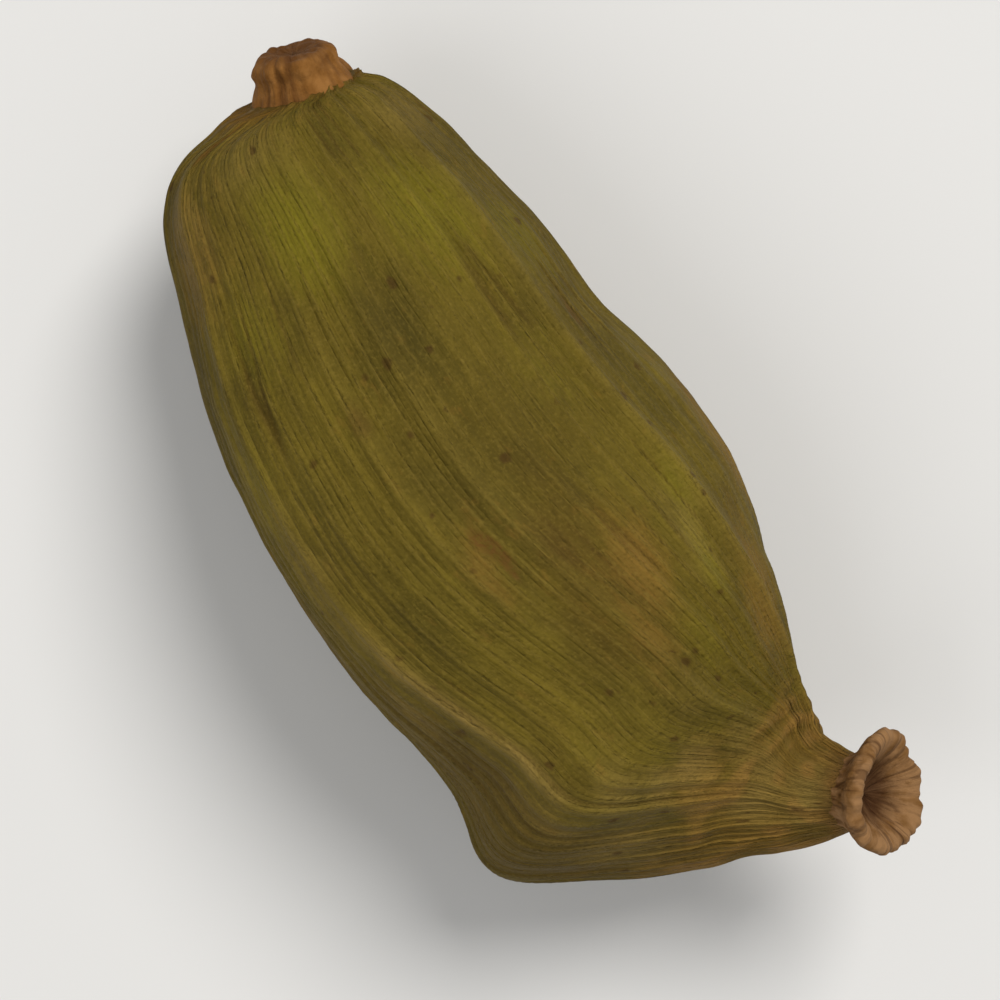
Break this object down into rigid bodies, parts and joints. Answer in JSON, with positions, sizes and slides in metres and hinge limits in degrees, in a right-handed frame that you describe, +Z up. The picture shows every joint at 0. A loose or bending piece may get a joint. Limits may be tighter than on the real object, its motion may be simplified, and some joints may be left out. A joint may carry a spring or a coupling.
{
  "type": "green cardamom pod",
  "caption": "Whole green cardamom pod with a ribbed three-sided husk, a stalk stub and a bent beak that ends in a dried flower ring.",
  "frame": {"origin": "middle of the small flat spot under the husk that the pod rests on", "axes": "+X along the pod from the stalk end to the beak, +Y towards the side that the beak bends to, +Z up"},
  "size_m": [0.0156, 0.007, 0.0062],
  "materials": {
    "husk_skin": null,
    "stalk_cork": "matte",
    "flower_dry": "matte"
  },
  "bodies": {
    "root": {"husk": "husk_skin", "stalk_stub": "stalk_cork", "flower_remnant": "flower_dry"}
  },
  "joints": []
}
